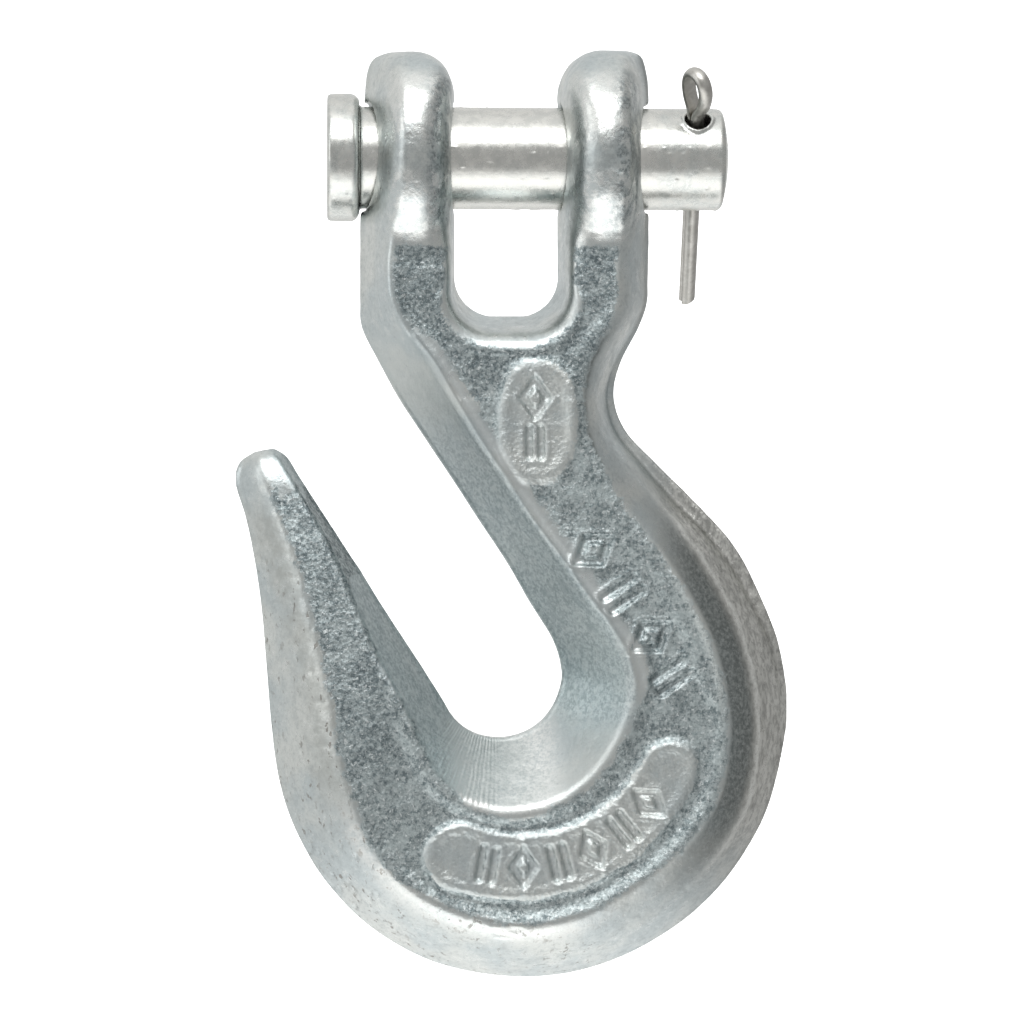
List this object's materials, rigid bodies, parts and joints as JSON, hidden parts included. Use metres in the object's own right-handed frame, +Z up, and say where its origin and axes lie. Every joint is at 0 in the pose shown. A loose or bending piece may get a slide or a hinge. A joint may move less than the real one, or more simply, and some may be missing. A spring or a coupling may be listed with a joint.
{
  "type": "clevis grab hook",
  "caption": "Forged hook with a tapering narrow throat, a forked clevis end, a headed pin across the fork and a split cotter that keeps the pin in.",
  "frame": {"origin": "on the clevis pin's axis, midway between the two ears of the fork", "axes": "+X along the clevis pin from its head to its cotter, +Z up from the bowl to the fork, -Y out of the hook's front face"},
  "size_m": [0.069, 0.031, 0.1159],
  "materials": {
    "forged_zinc": "bright zinc plate on forged steel: smooth trimmed edges, speckled as-forged faces",
    "pin_zinc": "smooth zinc plate on turned steel",
    "cotter_zinc": "dull zinc plate on half-round wire"
  },
  "bodies": {
    "hook": {"hook_body": "forged_zinc"},
    "pin": {"clevis_pin": "pin_zinc"},
    "cotter": {"cotter_pin": "cotter_zinc"}
  },
  "joints": [
    {"name": "pin_turn", "type": "hinge", "parent": "hook", "child": "pin", "pos_m": [0, 0, 0], "axis": [1, 0, 0], "continuous": true},
    {"name": "cotter_pull", "type": "slide", "parent": "pin", "child": "cotter", "axis": [-0.0401, -0.7065, 0.7065], "range_m": [0, 0.031]}
  ]
}
